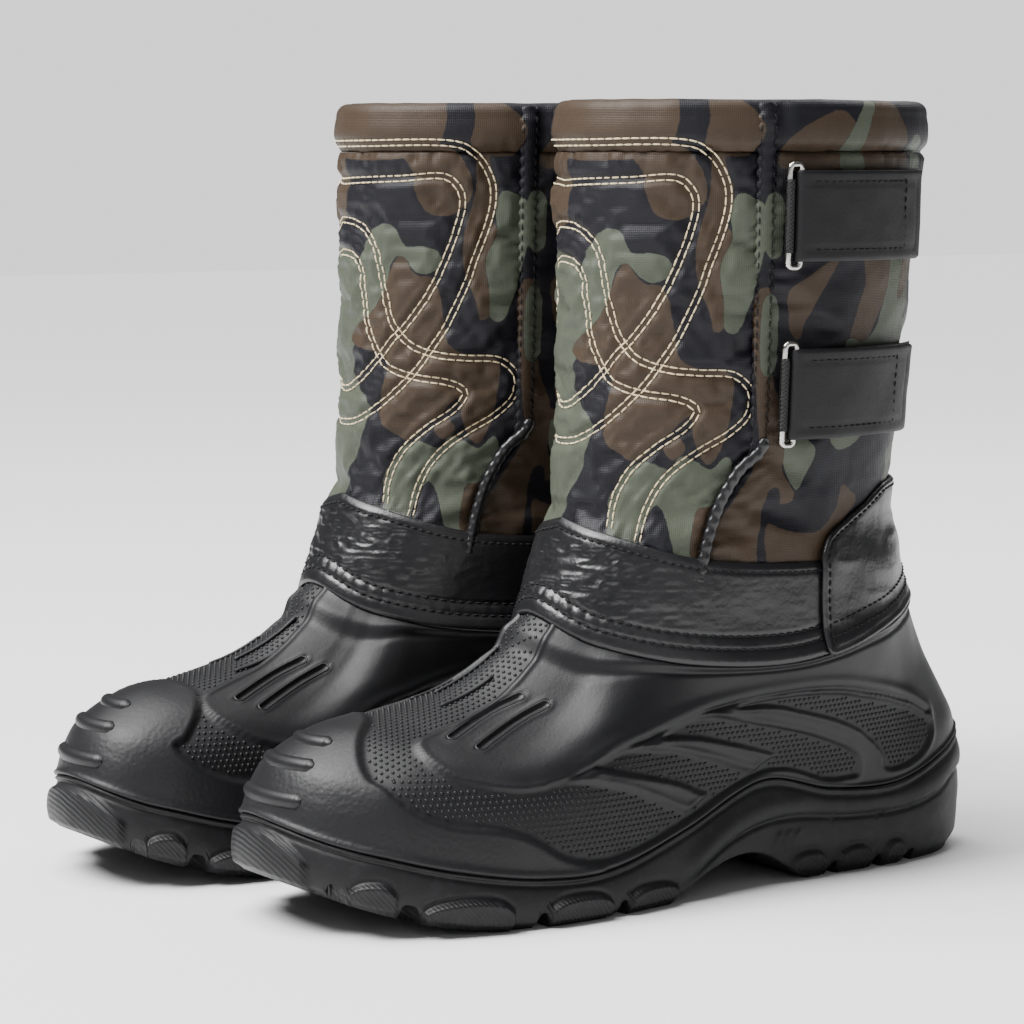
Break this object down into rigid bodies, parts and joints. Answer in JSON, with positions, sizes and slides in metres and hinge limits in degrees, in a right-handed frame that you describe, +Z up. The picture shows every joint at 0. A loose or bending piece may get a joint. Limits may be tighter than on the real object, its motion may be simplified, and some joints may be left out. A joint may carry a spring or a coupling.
{
  "type": "insulated hunting boots",
  "caption": "Pair of insulated boots: moulded foam galosh on a lugged sole, padded camouflage shaft with fleece lining, hook-and-loop straps through wire rings on the outer side.",
  "frame": {"origin": "on the ground under the middle of the pair's bounding box", "axes": "+Z up, toes towards -Y, the left boot at +X and the right boot at -X"},
  "size_m": [0.2502, 0.334, 0.297],
  "materials": {
    "sole_rubber": "satin",
    "moulded_foam": "satin",
    "felt": "matte",
    "insole_foam": "matte",
    "fleece": "matte",
    "camo_fabric": "soft sheen",
    "coated_leather": "gloss",
    "webbing": "matte",
    "hook_and_loop": "matte",
    "wire": "polished"
  },
  "bodies": {
    "left_boot": {"left_outsole": "sole_rubber", "left_shell": "moulded_foam", "left_foot_liner": "felt", "left_insole": "insole_foam", "left_shaft_lining": "fleece", "left_front_panel": "camo_fabric", "left_back_panel": "camo_fabric", "left_collar": "camo_fabric", "left_outer_seam_tape": "camo_fabric", "left_inner_seam_tape": "camo_fabric", "left_ankle_band": "coated_leather", "left_heel_patch": "coated_leather", "left_upper_strap_base": "webbing", "left_upper_loop_pad": "hook_and_loop", "left_upper_ring_tab": "webbing", "left_lower_strap_base": "webbing", "left_lower_loop_pad": "hook_and_loop", "left_lower_ring_tab": "webbing"},
    "right_boot": {"right_outsole": "sole_rubber", "right_shell": "moulded_foam", "right_foot_liner": "felt", "right_insole": "insole_foam", "right_shaft_lining": "fleece", "right_front_panel": "camo_fabric", "right_back_panel": "camo_fabric", "right_collar": "camo_fabric", "right_outer_seam_tape": "camo_fabric", "right_inner_seam_tape": "camo_fabric", "right_ankle_band": "coated_leather", "right_heel_patch": "coated_leather", "right_upper_strap_base": "webbing", "right_upper_loop_pad": "hook_and_loop", "right_upper_ring_tab": "webbing", "right_lower_strap_base": "webbing", "right_lower_loop_pad": "hook_and_loop", "right_lower_ring_tab": "webbing"},
    "left_upper_ring_body": {"left_upper_ring": "wire"},
    "left_upper_flap_body": {"left_upper_strap_flap": "coated_leather", "left_upper_hook_pad": "hook_and_loop"},
    "left_lower_ring_body": {"left_lower_ring": "wire"},
    "left_lower_flap_body": {"left_lower_strap_flap": "coated_leather", "left_lower_hook_pad": "hook_and_loop"},
    "right_upper_ring_body": {"right_upper_ring": "wire"},
    "right_upper_flap_body": {"right_upper_strap_flap": "coated_leather", "right_upper_hook_pad": "hook_and_loop"},
    "right_lower_ring_body": {"right_lower_ring": "wire"},
    "right_lower_flap_body": {"right_lower_strap_flap": "coated_leather", "right_lower_hook_pad": "hook_and_loop"}
  },
  "joints": [
    {"name": "right_boot_lift", "type": "slide", "parent": "left_boot", "child": "right_boot", "axis": [0, 0, 1], "range_m": [0, 0.3]},
    {"name": "left_upper_ring_swing", "type": "hinge", "parent": "left_boot", "child": "left_upper_ring_body", "pos_m": [0.11985, 0.0437, 0.2535], "axis": [-0.0284, 0, -0.9996], "range_deg": [0, 12]},
    {"name": "left_upper_flap_open", "type": "hinge", "parent": "left_upper_ring_body", "child": "left_upper_flap_body", "pos_m": [0.1207, 0.0484, 0.2535], "axis": [-0.0305, 0, -0.9995], "range_deg": [0, 95]},
    {"name": "left_lower_ring_swing", "type": "hinge", "parent": "left_boot", "child": "left_lower_ring_body", "pos_m": [0.11733, 0.0437, 0.1875], "axis": [-0.0522, 0, -0.9986], "range_deg": [0, 12]},
    {"name": "left_lower_flap_open", "type": "hinge", "parent": "left_lower_ring_body", "child": "left_lower_flap_body", "pos_m": [0.11799, 0.0484, 0.1875], "axis": [-0.0557, 0, -0.9984], "range_deg": [0, 95]},
    {"name": "right_upper_ring_swing", "type": "hinge", "parent": "right_boot", "child": "right_upper_ring_body", "pos_m": [-0.11985, 0.0227, 0.2535], "axis": [-0.0284, 0, 0.9996], "range_deg": [0, 12]},
    {"name": "right_upper_flap_open", "type": "hinge", "parent": "right_upper_ring_body", "child": "right_upper_flap_body", "pos_m": [-0.1207, 0.0274, 0.2535], "axis": [-0.0305, 0, 0.9995], "range_deg": [0, 95]},
    {"name": "right_lower_ring_swing", "type": "hinge", "parent": "right_boot", "child": "right_lower_ring_body", "pos_m": [-0.11733, 0.0227, 0.1875], "axis": [-0.0522, 0, 0.9986], "range_deg": [0, 12]},
    {"name": "right_lower_flap_open", "type": "hinge", "parent": "right_lower_ring_body", "child": "right_lower_flap_body", "pos_m": [-0.11799, 0.0274, 0.1875], "axis": [-0.0557, 0, 0.9984], "range_deg": [0, 95]}
  ]
}
